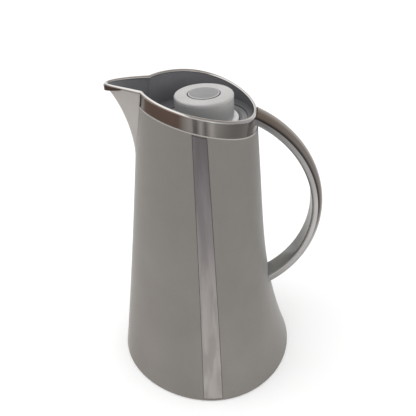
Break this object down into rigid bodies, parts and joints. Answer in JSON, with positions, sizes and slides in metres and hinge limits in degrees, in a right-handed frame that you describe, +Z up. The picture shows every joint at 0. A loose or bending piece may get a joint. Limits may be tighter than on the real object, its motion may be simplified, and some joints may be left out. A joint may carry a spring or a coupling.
{
  "type": "vacuum jug",
  "caption": "Oval thermal coffee jug with a loop handle, pouring beak, sloping chrome rim and a push-button stopper that lifts out of its vacuum flask.",
  "frame": {"origin": "on the table, under the middle of the flask and the stopper, at the underside of the foot pad", "axes": "+X points to the handle and -X to the spout, +Z is up, and the jug is a mirror image about Y = 0"},
  "size_m": [0.1996, 0.1756, 0.287],
  "materials": {
    "casing_grey": "fine matt moulded plastic",
    "strip_grey": "smooth grey inlay",
    "bead_chrome": "bright plated bead",
    "band_chrome": "bright plated band",
    "lip_dark": "dark glossy plastic",
    "beak_satin": "satin silver-grey plastic",
    "collar_dark": "dark glossy plastic",
    "handle_chrome": "plated plastic shell",
    "screw_steel": "plain steel",
    "base_black": "matt black moulded plastic",
    "pad_rubber": "soft black anti-slip pad",
    "flask_silvered": "silvered glass",
    "spacer_felt": "pressed fibre",
    "cushion_rubber": "soft grey rubber",
    "gasket_silicone": "milky silicone",
    "neck_grey": "grey moulded plastic",
    "plug_white": "white food-grade plastic",
    "flange_white": "white plastic",
    "cap_grey": "grey plastic with faint turning lines",
    "face_silver": "fine silver finish",
    "button_grey": "satin grey plastic"
  },
  "bodies": {
    "jug": {"outer_casing": "casing_grey", "side_strip_left": "strip_grey", "side_strip_right": "strip_grey", "rim_bead": "bead_chrome", "rim_band": "band_chrome", "pour_lip": "lip_dark", "spout_beak": "beak_satin", "inner_collar": "collar_dark", "handle_core": "handle_chrome", "handle_cover": "handle_chrome", "handle_screw": "screw_steel", "base_plate": "base_black", "base_pad": "pad_rubber", "base_screws": "screw_steel", "flask_outer": "flask_silvered", "flask_inner": "flask_silvered", "flask_spacers": "spacer_felt", "flask_cushion": "cushion_rubber", "shoulder_ring": "cushion_rubber", "neck_gasket": "gasket_silicone", "neck_ring": "neck_grey"},
    "stopper": {"stopper_gasket": "gasket_silicone", "stopper_plug": "plug_white", "stopper_flange": "flange_white", "stopper_cap": "cap_grey", "stopper_face": "face_silver", "button_spring": "screw_steel"},
    "button": {"push_button": "button_grey", "valve_stem": "plug_white", "valve_disc": "plug_white", "valve_gasket": "gasket_silicone", "stem_nut": "plug_white"}
  },
  "joints": [
    {"name": "stopper_lift", "type": "slide", "parent": "jug", "child": "stopper", "axis": [0, 0, 1], "range_m": [0, 0.105]},
    {"name": "button_press", "type": "slide", "parent": "stopper", "child": "button", "axis": [0, 0, -1], "range_m": [0, 0.004], "stiffness_N_per_m": 500, "springref_m": -0.004, "deforming": ["button_spring"]}
  ]
}
